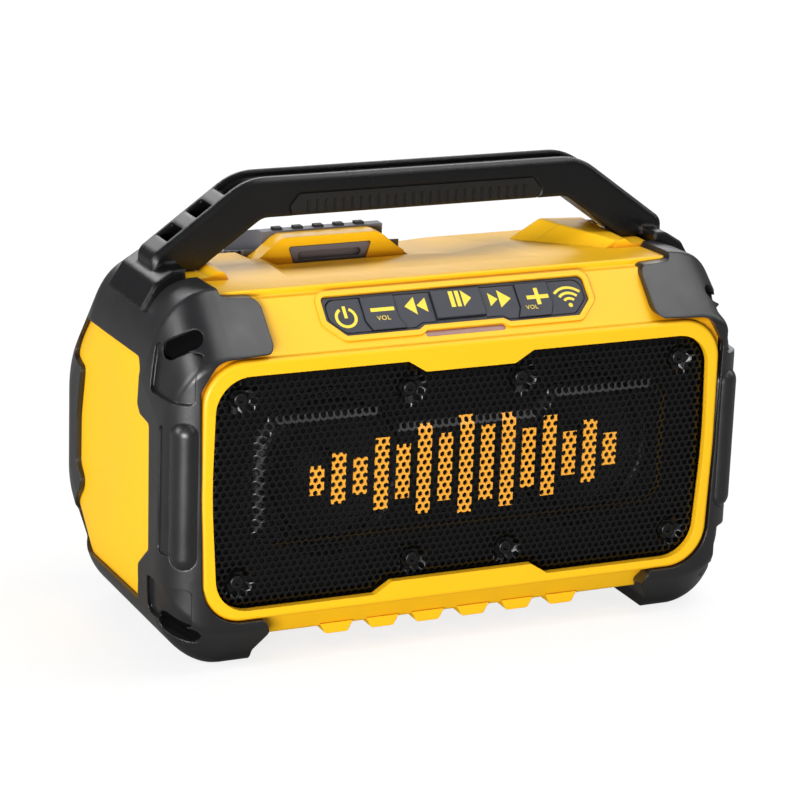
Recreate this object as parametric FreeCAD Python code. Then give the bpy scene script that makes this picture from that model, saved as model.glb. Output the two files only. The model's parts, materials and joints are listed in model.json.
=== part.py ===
import FreeCAD, Part
import math
import os

# Jobsite bluetooth speaker: moulded housing between two rubber end caps, carry handle over the deck,
# perforated grille in front, battery pack in a bay at the rear. Millimetres, +Z up, +Y to the rear.
# The model is drawn with y = 0 on the front of the bezel and is moved to the middle of its depth on export.

# Main housing
housing_front = 3.0
housing_rear = 127.0
housing_bottom = 9.0
housing_half_width = 118.0
wall = 3.0
split_y = 71.0
boss_radius = 4.2
shoulder_end = housing_half_width - 9.6
deck_front = 26.4
deck_rear = 79.0
deck_height = 152.8
deck_fall = 2.0
dip_depth = 5.4
ledge_height = deck_height - 2.9
slope_foot = deck_height - 22.5
rear_shoulder = deck_height - 40.8

# End caps
cap_overhang = 13.0
cap_half_width = housing_half_width + cap_overhang
cap_skin = 2.2
cap_front = -1.0
cap_rear = housing_rear + 5
cap_wing = housing_half_width - 28
cap_window_clearance = 0.15
cap_edge = shoulder_end - 5.2
panel_recess = 2.2
panel_base = housing_half_width + 3
bar_radius = 6.2
bar_low = 44.0
bar_high = deck_height - 44.8
bar_inset = 8.4
corner_turn = 62.0
corner_slot_half_length = 9.5
corner_slot_radius = 4.2
corner_slot_depth = 9.0
corner_recess_depth = 1.8
corner_strip_depth = 0.7
trough_depth = 4.0
trough_low = 46.0
trough_high = deck_height - 51.8

rib_count = 6
rib_pitch = 21.0

# Bezel and grille
bezel_half_width = housing_half_width
bezel_face = 5.0
bezel_bottom = 20.5
bezel_top = slope_foot + 0.9
bezel_corner = 18.0
bezel_round = 2.0
opening_half_width = bezel_half_width - bezel_face
opening_bottom = 25.0
opening_top = bezel_top - bezel_face - 1.4
opening_corner = 15.0
grille_front = 3.4
grille_sheet = 1.0
grille_relief = 2.2
grille_clearance = 0.3
grille_seat = 3.0
hole_pitch = 12.0
hole_flats = 7.6
dimple_radius = 6.5
dimple_floor_radius = 4.4
screw_head_radius = 3.0
screw_radius = 1.5
post_radius = 3.2

# Drivers
driver_spacing = 116.0
driver_height = 75.0
driver_frame_radius = 38.0
cone_radius = 28.5
surround_width = 5.5
magnet_radius = 25.0
baffle_front = 14.0
baffle_thickness = 4.0
baffle_top = opening_top + 0.2
magnet_front = 36.0

# Keypad
keypad_half_width = 60.0
keypad_height = 19.0
keypad_lift = 7.0
keypad_depth = 5.2
keypad_rim = 1.3
lip_height = 0.8
board_depth = 9.0
board_height = 20.5
key_thickness = 3.0
key_gap = 0.35
key_travel = 1.0
play_foot = 4.4
light_half_width = 18.2
light_height = 2.8

# Handle
handle_front = 58.0
handle_rear = 77.0
handle_rise = 37.8
handle_thickness = 16.6
handle_top = deck_height + handle_rise
handle_under = handle_top - handle_thickness
handle_post = shoulder_end + 10.1
handle_knee = handle_post - 41.5
handle_rail = 3.4
handle_seat = deck_height - 3.8
grip_half_length = 56.0
grip_thickness = 3.0
grip_proud = 0.5
grip_top = handle_under + 9
grip_ribs = 26
grip_rib_pitch = 4.0

# Battery and bay
battery_middle = -30.0
battery_half_width = 36.0
battery_front = deck_rear + 0.8
battery_rear = housing_rear + 9
battery_bottom = 44.0
battery_top = deck_height + 5.2
collar_depth = 9.0
blade_front = battery_front + 4.2
bay_clearance = 0.5
bay_wall = 3.0
rail_depth = 2.6
rail_width = 4.0
rail_front = battery_front + 4.2
rail_low = battery_bottom + 22
rail_high = battery_top - 18
latch_half_width = 19.0

# Rear ports
port_middle = 66.0
port_half_width = 26.0
port_low = 60.0
port_high = 84.0
port_depth = 13.0
socket_height = port_low + 12
jack_offset = -13.0
usb_offset = 11.0
cover_thickness = 2.6
cover_gap = 0.4

depth_middle = (cap_front + battery_rear) / 2

V = FreeCAD.Vector
X, Y, Z = V(1, 0, 0), V(0, 1, 0), V(0, 0, 1)

# For each drawing plane: the direction it is extruded in, and where a drawn point (u, v) lies at a level
planes = {
    "front": (Y, lambda u, v, level: V(u, level, v)),
    "side": (X, lambda u, v, level: V(level, u, v)),
    "top": (Z, lambda u, v, level: V(u, v, level)),
}


# Straight edges joined by arcs of each corner's own radius; a corner is (u, v, radius)
def rounded_wire(corners, plane, level):
    place = planes[plane][1]
    count = len(corners)
    bends = []
    for i in range(count):
        before, here, after = corners[i - 1], corners[i], corners[(i + 1) % count]
        bends.append(corner_arc(before, here, after))
    edges = []
    for i in range(count):
        start, end = bends[i - 1][2], bends[i][0]
        if math.dist(start, end) > 1e-4:
            edges.append(Part.makeLine(place(*start, level), place(*end, level)))
        if math.dist(bends[i][0], bends[i][2]) > 1e-4:
            edges.append(Part.Arc(*[place(*p, level) for p in bends[i]]).toShape())
    return Part.Wire(edges)


# Start, middle and end of the arc that rounds one corner
def corner_arc(before, here, after):
    to_before = unit(before, here)
    to_after = unit(after, here)
    half = math.acos(max(-1, min(1, to_before[0] * to_after[0] + to_before[1] * to_after[1]))) / 2
    radius = here[2]
    if radius < 0.01 or half > math.pi / 2 - 1e-3:
        return [here[:2]] * 3
    cut = radius / math.tan(half)
    inward = (to_before[0] + to_after[0], to_before[1] + to_after[1])
    length = math.hypot(*inward)
    reach = (radius / math.sin(half) - radius) / length
    return [(here[0] + to_before[0] * cut, here[1] + to_before[1] * cut),
            (here[0] + inward[0] * reach, here[1] + inward[1] * reach),
            (here[0] + to_after[0] * cut, here[1] + to_after[1] * cut)]


def unit(end, start):
    length = math.dist(end[:2], start[:2])
    return ((end[0] - start[0]) / length, (end[1] - start[1]) / length)


# Every side of an anticlockwise outline moved outwards, with its corner radii following
def grown(corners, amount):
    moved = []
    count = len(corners)
    for i in range(count):
        before, here, after = corners[i - 1], corners[i], corners[(i + 1) % count]
        along, onward = unit(here, before), unit(after, here)
        first, second = (along[1], -along[0]), (onward[1], -onward[0])
        share = amount / (1 + first[0] * second[0] + first[1] * second[1])
        turn = along[0] * onward[1] - along[1] * onward[0]
        radius = here[2] + math.copysign(amount, turn)
        moved.append((here[0] + share * (first[0] + second[0]),
                      here[1] + share * (first[1] + second[1]), max(radius, 0.3)))
    return moved


def prism(corners, plane, low, high):
    face = Part.Face(rounded_wire(corners, plane, low))
    return face.extrude(planes[plane][0] * (high - low))


def box(x0, x1, y0, y1, z0, z1):
    return Part.makeBox(x1 - x0, y1 - y0, z1 - z0, V(x0, y0, z0))


def rod(radius, start, end):
    return Part.makeCylinder(radius, (end - start).Length, start, end - start)


# The right half of a front outline, given from the bottom up, with its mirror image
def both_halves(right):
    return right + [(-x, z, r) for x, z, r in reversed(right)]


def mirrored(shape):
    return shape.mirror(V(0, 0, 0), X)


def fused(shapes):
    return shapes[0].multiFuse(shapes[1:]).removeSplitter() if len(shapes) > 1 else shapes[0]


# Straight slot with half-round ends, long in the plane's first direction
def slot(plane, u, v, half_length, radius, low, high):
    axis, place = planes[plane]
    run = half_length - radius
    outline = [(-run, -radius), (run, -radius), (half_length, 0), (run, radius), (-run, radius),
               (-half_length, 0)]
    a, b, right, c, d, left = [place(u + x, v + y, low) for x, y in outline]
    wire = Part.Wire([Part.makeLine(a, b), Part.Arc(b, right, c).toShape(), Part.makeLine(c, d),
                      Part.Arc(d, left, a).toShape()])
    return Part.Face(wire).extrude(axis * (high - low))


# Housing outlines

def housing_side():
    ledge_start = housing_front + ledge_height - slope_foot
    return [
        (12, housing_bottom, 4), (housing_rear - 27, housing_bottom, 12), (housing_rear, 36, 18),
        (housing_rear, rear_shoulder, 22), (housing_rear - 26, deck_height - deck_fall - 2, 8),
        (deck_rear, deck_height - deck_fall, 10), (deck_front, deck_height, 1.2),
        (deck_front - 0.6, ledge_height, 0.8), (ledge_start, ledge_height, 1.5),
        (housing_front, slope_foot, 3), (housing_front, bezel_bottom + 1.5, 3),
    ]


def housing_front_outline():
    return both_halves([
        (housing_half_width - 30, housing_bottom - 1, 10), (housing_half_width, housing_bottom + 20, 10),
        (housing_half_width, deck_height - 24.8, 14), (shoulder_end - 0.2, deck_height - 4.8, 8),
        (shoulder_end - 1.4, deck_height + 2, 0),
    ])


def housing_blank(grow):
    side = prism(grown(housing_side(), grow), "side", -cap_half_width, cap_half_width)
    return side.common(prism(grown(housing_front_outline(), grow), "front", -20, 150))


def bezel_outline(grow):
    w = bezel_half_width + grow
    r = bezel_corner + grow
    return both_halves([
        (w - 2, bezel_bottom - grow, r), (w, driver_height + 1, 200), (w - 0.5, bezel_top + grow, r),
    ])


def opening_outline(grow):
    w = opening_half_width
    corners = both_halves([
        (32.3, opening_bottom + 5, 2), (40, opening_bottom, 2), (w - 3, opening_bottom, opening_corner),
        (w + 0.3, driver_height + 1, 300), (w - 1.1, opening_top, opening_corner),
        (28.4, opening_top, 2), (20.3, opening_top - 5, 2),
    ])
    return grown(corners, grow)


# Control slope: points are (x, distance up the slope, depth), from the foot of the keypad
slope_turn = FreeCAD.Rotation(X, 45)
keypad_foot = V(0, housing_front + keypad_lift / math.sqrt(2), slope_foot + keypad_lift / math.sqrt(2))


# A prism drawn in the plane of the slope, from one height above its skin to another
def slope_prism(corners, low, high):
    shape = prism(corners, "top", low, high)
    shape.Placement = FreeCAD.Placement(keypad_foot, slope_turn)
    return shape


def keypad_outline(grow):
    w = keypad_half_width
    h = keypad_height
    corners = both_halves([
        (17.9, 1.8, 0.8), (20.8, 0, 0.8), (w - 7.1, 0, 1.5), (w, 7.5, 2), (w, h, 2.5),
    ])
    return grown(corners, grow)


# Slot of the status light, just under the keypad's notch
def light_slot(grow, low, high):
    shape = slot("top", 0, -1.9, light_half_width + grow, light_height / 2 + grow, low, high)
    shape.Placement = FreeCAD.Placement(keypad_foot, slope_turn)
    return shape


# Front housing

# Low block under each handle arm
def shoulder():
    x, z = shoulder_end, deck_height
    rise = [(x - 20, z - 6, 0), (x - 1.4, z - 7.8, 0), (x, z - 2.8, 0), (x - 1, z + 0.6, 2.5),
            (x - 10.4, z + 0.6, 3), (x - 14, z + 3, 1.5), (x - 17, z + 2.6, 2), (x - 20, z - 2, 0)]
    return prism(rise, "front", handle_front - 11, deck_rear)


# Ramp at the right end of the deck, which rises and widens to the rear
def deck_ramp():
    x, z = shoulder_end, deck_height
    front = [(x - 23, z - 6, 0), (x - 10, z - 6, 0), (x - 10, z + 0.4, 1), (x - 14, z + 2.8, 1),
             (x - 18, z + 2.4, 2), (x - 23, z - 1, 1)]
    rear = [(x - 54, z - 6, 0), (x - 10, z - 6, 0), (x - 10, z + 0.4, 1), (x - 18.5, z + 5.2, 3),
            (x - 39.4, z + 6.2, 4), (x - 54, z - 2, 3)]
    sections = [rounded_wire(front, "front", handle_front - 10), rounded_wire(rear, "front", deck_rear)]
    return Part.makeLoft(sections, True, True)


# Shallow dip of the deck in front of the battery's collar, lowered by the drop
def deck_dip(drop):
    left, right = battery_middle - battery_half_width, battery_middle + battery_half_width
    z = deck_height - drop
    basin = [(left - 1, z + 0.4, 0), (left + 11, z - dip_depth, 6), (right + 8, z - dip_depth, 20),
             (right + 48, z - 0.6, 0), (right + 48, z + 12, 0), (left - 1, z + 12, 0)]
    fall = [(deck_rear - 36, z - 0.6, 0), (deck_rear, z - dip_depth, 10),
            (deck_rear + 30, z - dip_depth, 0), (deck_rear + 30, z + 12, 0), (deck_rear - 36, z + 12, 0)]
    return prism(basin, "front", 0, housing_rear).common(prism(fall, "side", left - 1, right + 48))


def underside_ribs():
    rib = [(-7.5, housing_bottom + 2, 0), (-5, housing_bottom - 2.6, 1.2), (5, housing_bottom - 2.6, 1.2),
           (7.5, housing_bottom + 2, 0)]
    ribs = []
    for k in range(rib_count):
        centre = (k - (rib_count - 1) / 2) * rib_pitch
        ribs.append(prism([(x + centre, z, r) for x, z, r in rib], "front", 10, 42))
    return ribs


def bezel():
    frame = prism(bezel_outline(0), "front", 0, housing_front + 1)
    return frame.makeFillet(bezel_round, edges_at(frame, 0))


# Everything the housing's outside holds, as one solid, which the end caps are moulded over
def housing_envelope():
    return fused([housing_blank(0), bezel(), shoulder(), mirrored(shoulder()), deck_ramp()])


def housing_shell():
    return housing_blank(0).cut(housing_blank(-wall))


def housing_screw_places():
    edge = housing_half_width - 6
    right = [(edge, 42), (edge, rear_shoulder - 6), (40, housing_bottom + 6.6)]
    return right + [(-x, z) for x, z in right]


def front_housing():
    keypad_lip = slope_prism(keypad_outline(2.4), -1, lip_height)
    bosses = [rod(boss_radius, V(x, 52, z), V(x, split_y, z)) for x, z in housing_screw_places()]
    stands = [rod(3, V(x, y, housing_bottom + 1), V(x, y, board_height)) for x, y in board_corners()]
    solids = [bezel(), shoulder(), mirrored(shoulder()), deck_ramp(), keypad_lip] + underside_ribs()
    solids.append(deck_dip(wall).common(housing_blank(0)))
    shell = housing_shell().fuse(solids + [b.common(housing_blank(-1)) for b in bosses] + stands)
    shell = shell.common(box(-150, 150, -5, split_y, 0, 200))
    opening = prism(opening_outline(0), "front", -5, baffle_front - 5)
    seat = prism(opening_outline(grille_seat), "front", grille_front, baffle_front - 5)
    keypad = slope_prism(keypad_outline(0), -12, 6)
    light = light_slot(0, -12, 6)
    pilots = [rod(screw_radius, V(x, 57, z), V(x, split_y, z)) for x, z in housing_screw_places()]
    cuts = [opening, seat, keypad, light, deck_dip(0)] + pilots + handle_screw_holes()
    return shell.cut(cuts).removeSplitter()


# Speaker grille: pressed sheet with a raised middle panel, screw dimples and hexagonal holes

def grille_screw_places():
    edge = opening_half_width - 13
    right = [(edge, opening_top - 10.8), (25.5, opening_top - 12.8), (edge, opening_bottom + 11.3),
             (21.7, opening_bottom + 12.3)]
    return right + [(-x, z) for x, z in right]


def dimple_back():
    return grille_front + grille_relief + grille_sheet


# Outline of the raised panel, which steps round the four inner screws
def relief_outline(grow):
    w, low, high = opening_half_width - 19, opening_bottom + 25, opening_top - 18.8
    corners = both_halves([
        (w - 7, low, 6), (w, low + 7, 6), (w, high - 7, 6), (w - 7, high, 6), (39, high, 5),
        (31, high - 8, 5),
    ])
    return grown(corners, grow)


# The raised panel as a block with bevelled front edges, from its front face to some depth
def relief_block(front, back):
    block = prism(relief_outline(0), "front", front, back)
    return block.makeChamfer(grille_relief - 0.1, edges_at(block, front))


# Edges that lie in the plane y = level
def edges_at(shape, level):
    return [e for e in shape.Edges if max(abs(v.Point.y - level) for v in e.Vertexes) < 1e-6]


def cone_frustum(x, z, front_y, front_radius, back_y, back_radius):
    return Part.makeCone(front_radius, back_radius, back_y - front_y, V(x, front_y, z), Y)


# True where a point lies inside an outline by at least the margin
def inside(point, corners, margin):
    shrunk = grown(corners, -margin)
    crossings = 0
    for i in range(len(shrunk)):
        (x0, z0), (x1, z1) = shrunk[i - 1][:2], shrunk[i][:2]
        if (z0 > point[1]) != (z1 > point[1]):
            crossings += point[0] < x0 + (point[1] - z0) * (x1 - x0) / (z1 - z0)
    return crossings % 2 == 1


# Centres of the holes: staggered rows that miss the rim, the bevel and the dimples
def hole_places():
    reach = hole_flats / 2 + 0.8
    row_pitch = hole_pitch * math.sqrt(3) / 2
    rows = int((opening_top - opening_bottom) / row_pitch)
    columns = int(opening_half_width / hole_pitch) + 1
    places = []
    for row in range(rows + 1):
        z = (opening_top + opening_bottom) / 2 + (row - rows / 2) * row_pitch
        for column in range(-columns, columns + 1):
            x = (column + (row % 2) / 2) * hole_pitch
            in_sheet = inside((x, z), opening_outline(0), reach)
            outside_top = not inside((x, z), relief_outline(0), reach)
            on_bevel = outside_top and inside((x, z), relief_outline(reach), 0)
            dimples = [math.dist((x, z), place) for place in grille_screw_places()]
            if in_sheet and not on_bevel and min(dimples) > dimple_radius + reach:
                places.append((x, z))
    return places


def hexagon(x, z):
    reach = hole_flats / math.sqrt(3)
    corners = [(x + reach * math.sin(k * math.pi / 3), z + reach * math.cos(k * math.pi / 3), 0)
               for k in range(6)]
    return prism(corners, "front", -2, dimple_back() + 2)


def speaker_grille():
    back = grille_front + grille_sheet
    sheet = prism(opening_outline(grille_seat - grille_clearance), "front", grille_front, back)
    raised = relief_block(grille_front - grille_relief, grille_front + grille_sheet / 2)
    hollow = relief_block(grille_front - grille_relief + grille_sheet, back + 2)
    dimples, wells, holes = [], [], []
    for x, z in grille_screw_places():
        floor = grille_front + grille_relief
        dimples.append(cone_frustum(x, z, grille_front, dimple_radius + grille_sheet, dimple_back(),
                                    dimple_floor_radius + grille_sheet))
        wells.append(cone_frustum(x, z, grille_front - 1, dimple_radius + 1, floor, dimple_floor_radius))
        holes.append(rod(screw_radius, V(x, floor - 1, z), V(x, dimple_back() + 1, z)))
    pressed = sheet.fuse([raised] + dimples).cut([hollow] + wells + holes)
    return pressed.cut(Part.Compound([hexagon(x, z) for x, z in hole_places()])).removeSplitter()


def pan_screw(start, direction, length, head_radius, radius, head_height):
    head = rod(head_radius, start - direction * head_height, start)
    top = [e for e in head.Edges if e.Curve.TypeId == "Part::GeomCircle"
           and (e.CenterOfMass - (start - direction * head_height)).Length < 1e-3]
    head = head.makeFillet(head_height * 0.45, top)
    recess = rod(head_radius * 0.42, start - direction * (head_height + 1), start - direction * 0.5)
    return head.cut(recess).fuse(rod(radius, start, start + direction * length)).removeSplitter()


def grille_screws():
    floor = grille_front + grille_relief
    return Part.Compound([pan_screw(V(x, floor, z), Y, 9, screw_head_radius, screw_radius, 1.7)
                          for x, z in grille_screw_places()])


# Baffle and drivers

def driver_places():
    return {"left": -driver_spacing / 2, "right": driver_spacing / 2}


def speaker_baffle():
    back = baffle_front + baffle_thickness
    plate = housing_blank(-wall).common(box(-150, 150, baffle_front, back, 0, baffle_top))
    posts = [rod(post_radius, V(x, dimple_back(), z), V(x, baffle_front, z))
             for x, z in grille_screw_places()]
    cuts = [rod(screw_radius, V(x, 0, z), V(x, grille_front + grille_relief + 9, z))
            for x, z in grille_screw_places()]
    for x in driver_places().values():
        cuts.append(rod(driver_frame_radius - 4, V(x, 0, driver_height), V(x, 30, driver_height)))
    return plate.fuse(posts).cut(cuts).removeSplitter()


# Solid turned about the driver's axis from (radius, depth) corners
def turned(corners, x):
    points = [V(r, y, 0) for r, y in corners]
    face = Part.Face(Part.makePolygon(points + points[:1]))
    solid = face.revolve(V(0, 0, 0), Y, 360)
    return solid.translated(V(x, 0, driver_height))


def driver_frame(x):
    rim = driver_frame_radius
    foot = magnet_radius - 1
    front = baffle_front
    basket = turned([(rim - 5, front - 1.4), (rim, front - 1.4), (rim, front), (rim - 4.4, front),
                     (rim - 5, front + 4), (foot + 1.4, magnet_front), (9.8, magnet_front),
                     (9.8, magnet_front - 1.4), (foot, magnet_front - 1.4), (rim - 6.4, front + 4),
                     (rim - 6.4, front)], x)
    windows = []
    for k in range(4):
        window = box(-8, 8, front + 6, magnet_front - 3, 18, rim)
        window.rotate(V(0, 0, 0), Y, 45 + 90 * k)
        windows.append(window.translated(V(x, 0, driver_height)))
    return basket.cut(windows)


def driver_magnet(x):
    back = magnet_front + 14
    front, rim = magnet_front, magnet_radius
    return turned([(8.2, front), (rim - 3, front), (rim - 3, front + 2), (rim, front + 2), (rim, back - 3),
                   (rim - 2, back), (0, back), (0, front - 1), (6.6, front - 1), (6.6, back - 4),
                   (8.2, back - 4)], x)


# Half-roll rubber edge between the frame and the cone
def driver_surround(x):
    inner = cone_radius
    outer = inner + surround_width
    front = baffle_front - 1.4
    roll = []
    for k in range(7):
        angle = math.pi * k / 6
        roll.append(((inner + outer) / 2 - math.cos(angle) * surround_width / 2,
                     front - 0.8 - math.sin(angle) * surround_width / 2))
    under = [(r + (0.7 if k < 3 else -0.7 if k > 3 else 0), y + 0.8) for k, (r, y) in enumerate(roll)]
    outer_flange = [(outer + 2, front - 0.8), (outer + 2, front), (outer - 0.7, front)]
    inner_flange = [(inner + 0.7, front), (inner - 2.4, front)]
    return turned([(inner - 2.4, front - 0.8)] + roll + outer_flange + under[5:0:-1] + inner_flange, x)


def driver_cone(x):
    front = baffle_front - 1.4
    neck = 10.0
    depth = front + 13
    return turned([(cone_radius, front), (cone_radius + 1.2, front), (cone_radius + 1.2, front + 0.9),
                   (cone_radius - 0.4, front + 0.9), (neck, depth + 0.9), (7.8, depth + 0.9),
                   (7.8, magnet_front + 5), (7.1, magnet_front + 5), (7.1, depth - 0.6),
                   (6, depth - 3.4), (3.5, depth - 4.6), (0, depth - 5), (0, depth - 6),
                   (4, depth - 5.6), (7, depth - 4.2), (neck - 0.6, depth - 1)], x)


# Keypad on the slope

def keypad_base():
    body = slope_prism(keypad_outline(-0.1), -keypad_depth, -0.3)
    flange = slope_prism(keypad_outline(2.0), -wall - 1.6, -wall)
    flange = flange.common(slope_prism([(-70, -9, 0), (70, -9, 0), (70, 18, 0), (-70, 18, 0)], -9, 9))
    sill = slope_prism([(-11.2, -1, 0), (11.2, -1, 0), (11.2, play_foot - key_gap, 0),
                        (-11.2, play_foot - key_gap, 0)], -key_floor(), -0.3).common(body)
    well = slope_prism(keypad_outline(-0.1 - keypad_rim), -key_floor(), 3)
    posts = [slope_rod(1.8, x, up, -board_depth, -keypad_depth + 0.5)
             for x, up in ((-43, 14.5), (-11.2, 5), (11.2, 5), (43, 14.5))]
    wells = [slope_rod(2.3, x, 10, -keypad_depth - 1, -key_floor() + 1) for x in key_middles()]
    return body.fuse([flange] + posts).cut([well] + wells).fuse(sill).removeSplitter()


def key_floor():
    return key_thickness + key_travel + 0.1


def slope_rod(radius, x, up, low, high):
    shape = Part.makeCylinder(radius, high - low, V(x, up, low))
    shape.Placement = FreeCAD.Placement(keypad_foot, slope_turn)
    return shape


# Keys from left to right: name, left edge, right edge, height over the slope
def keys():
    return [
        ("power_button", -60, -42.8, 0), ("volume_down_button", -42.8, -27.7, 0.7),
        ("previous_button", -27.7, -11.2, 0), ("play_button", -11.2, 11.2, 1.2),
        ("next_button", 11.2, 27.7, 0), ("volume_up_button", 27.7, 42.8, 0.7),
        ("pairing_button", 42.8, 60, 0),
    ]


def key_middles():
    return [(left + right) / 2 for name, left, right, height in keys()]


# Each key is the keypad's well between two dividing lines, which bend towards the middle at the foot
def key(left, right, height):
    g = key_gap / 2
    foot = play_foot if height > 1 else -1
    bend = 6.5
    left_kink = -math.copysign(3.4, left) if abs(left) > 12 else 0
    right_kink = -math.copysign(3.4, right) if abs(right) > 12 else 0
    top = keypad_height + 1
    lines = [(left + g + left_kink, foot, 0), (right - g + right_kink, foot, 0), (right - g, bend, 0),
             (right - g, top, 0), (left + g, top, 0), (left + g, bend, 0)]
    if abs(left) > 59:
        lines = [(right - g + right_kink, foot, 0), (right - g, bend, 0), (right - g, top, 0),
                 (-70, top, 0), (-70, foot, 0)]
    if abs(right) > 59:
        lines = [(70, foot, 0), (70, top, 0), (left + g, top, 0), (left + g, bend, 0),
                 (left + g + left_kink, foot, 0)]
    well = slope_prism(keypad_outline(-0.1 - keypad_rim - key_gap), -key_thickness, height - 0.3)
    return well.common(slope_prism(lines, -10, 10))


def switch_board():
    corners = [(-56, 2.5, 1), (56, 2.5, 1), (56, 17, 1), (-56, 17, 1)]
    return slope_prism(corners, -board_depth - 1.6, -board_depth)


def tact_switches():
    switches = []
    for x in key_middles():
        can = slope_prism([(x - 3, 7, 0.3), (x + 3, 7, 0.3), (x + 3, 13, 0.3), (x - 3, 13, 0.3)],
                          -board_depth, -keypad_depth - 0.4)
        switches.append(can.fuse(slope_rod(1.6, x, 10, -board_depth, -key_floor() - 0.2)).removeSplitter())
    return Part.Compound(switches)


def status_light_window():
    return light_slot(-0.05, -wall - 0.5, -0.4)


# Handle

# Point on the slanted arm: distance down from the knee, height over the arm's top face
def arm_point(along, over):
    slant = unit((handle_post - 0.5, handle_top - 29.6), (handle_knee, handle_top))
    return (handle_knee + slant[0] * along - slant[1] * over,
            handle_top + slant[1] * along + slant[0] * over)


def handle_outline():
    arm_end = arm_point(49.5, 0)
    return both_halves([
        (shoulder_end + 0.2, deck_height - 3.8, 0), (handle_post, deck_height - 5.8, 0),
        (handle_post, arm_end[1] - 1, 6),
        (arm_end[0] - 1.5, arm_end[1] + 1, 5), (handle_knee, handle_top, 26),
    ])


def handle_gap_outline():
    x, z = shoulder_end, deck_height
    return both_halves([
        (x + 0.2, z - 12.8, 0), (x + 0.2, z + 1.2, 1), (x - 10, z + 1.2, 3), (x - 38, handle_under, 8),
    ])


# Flange that spreads the foot over the end cap
def handle_flange():
    x, z = shoulder_end, deck_height
    skirt = [(x + 0.2, z - 0.8, 0), (x + 4.6, z - 1.2, 3), (x + 10.6, z - 4.6, 3),
             (x + 15.6, z - 11.4, 0.5), (x + 19.6, z - 10.6, 0.5), (x + 13.1, z + 0.2, 5),
             (x + 5.6, z + 4.8, 5), (x + 0.2, z + 5.2, 0)]
    return prism(skirt, "front", handle_front - 12, handle_rear + 8)


def handle_blank():
    arch = prism(handle_outline(), "front", handle_front, handle_rear)
    rails = [e for e in arch.Edges
             if abs(e.BoundBox.YLength) < 1e-6 and e.BoundBox.ZMax > deck_height - 2.3]
    arch = arch.makeFillet(2.2, rails)
    gap = prism(handle_gap_outline(), "front", handle_front - 5, handle_rear + 5)
    return arch.cut(gap).fuse([handle_flange(), mirrored(handle_flange())])


# Channel along the top and the pockets between the cross ribs of each arm
def handle_pockets():
    low, high = handle_front + handle_rail, handle_rear - handle_rail
    inner_knee = (handle_knee - 1.2, handle_top - 4, 18)
    end = arm_point(11.5, -4)
    lip = arm_point(11.5, 4)
    half = [(end[0], end[1], 3), inner_knee, (-inner_knee[0],) + inner_knee[1:], (-end[0], end[1], 3)]
    channel = prism(half + [(-lip[0], lip[1], 0), (-handle_knee, handle_top + 5, 0),
                            (handle_knee, handle_top + 5, 0), (lip[0], lip[1], 0)], "front", low, high)
    cuts = [channel]
    for start, stop in ((18, 26.5), (33.5, 42)):
        sides = [arm_point(start, -10), arm_point(stop, -10), arm_point(stop, 4), arm_point(start, 4)]
        pocket = prism([(x, z, 4 if k < 2 else 0) for k, (x, z) in enumerate(sides)], "front", low, high)
        cuts += [pocket, mirrored(pocket)]
    return cuts


def grip_region(grow):
    half = grip_half_length + grow
    outline = both_halves([
        (half, handle_under - 3, 0), (half + 2, handle_under + 4, 2), (half - 2, grip_top + grow, 2),
    ])
    return prism(outline, "front", handle_front - 2, handle_rear + 2)


def grip_core(shrink):
    return box(-80, 80, handle_front + grip_thickness + shrink, handle_rear - grip_thickness - shrink,
               handle_under + grip_thickness + shrink, handle_top + 10)


def handle_frame():
    body = handle_blank().cut(handle_pockets())
    return body.cut([grip_region(0.1).cut(grip_core(0))] + handle_screw_pilots()).removeSplitter()


def handle_grip():
    g = grip_proud
    sleeve = prism([(handle_front - g, handle_under - g, 3), (handle_rear + g, handle_under - g, 3),
                    (handle_rear + g, handle_top, 0), (handle_front - g, handle_top, 0)], "side", -80, 80)
    sleeve = sleeve.common(grip_region(0)).cut(grip_core(0))
    grooves = []
    for k in range(grip_ribs):
        x = (k - (grip_ribs - 1) / 2) * grip_rib_pitch
        for y0, y1 in ((handle_front - 5, handle_front - g + 0.7), (handle_rear + g - 0.7, handle_rear + 5)):
            grooves.append(box(x - 0.8, x + 0.8, y0, y1, handle_under + 1, grip_top - 2.5))
    return sleeve.cut(grooves)


def handle_screw_places():
    reach = shoulder_end - 5.4
    return [(x, y) for x in (-reach, reach) for y in (handle_front + 3.8, handle_front + 9.2)]


def handle_screw_holes():
    cuts = []
    for x, y in handle_screw_places():
        cuts.append(rod(screw_head_radius + 0.2, V(x, y, deck_height - 23), V(x, y, handle_seat)))
        cuts.append(rod(screw_radius, V(x, y, handle_seat - 1), V(x, y, handle_seat + 14)))
    return cuts


def handle_screw_pilots():
    return [rod(screw_radius, V(x, y, handle_seat - 1), V(x, y, handle_seat + 14))
            for x, y in handle_screw_places()]


def handle_screws():
    return Part.Compound([pan_screw(V(x, y, handle_seat), Z, 13, screw_head_radius, screw_radius, 2)
                          for x, y in handle_screw_places()])


# End caps, drawn for the right end and mirrored for the left

# Rounded side sections that draw in towards the end, each with its x and its draw-in at the front, rear,
# foot and top. The foot is drawn a little low and is cut flat at the floor.
def cap_stations():
    half = cap_half_width
    return [(cap_wing - 6, 0, 0, -1.2, 0), (half - 26, 0, 0, -1.2, 0), (half - 23, 0, 0, -0.8, 0.2),
            (half - 13, 0.5, 0, 3.5, 4), (half - 6, 3.6, 1, 10, 13), (half - 1.5, 9, 3.5, 19, 27),
            (half, 17, 9, 31, 38)]


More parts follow.
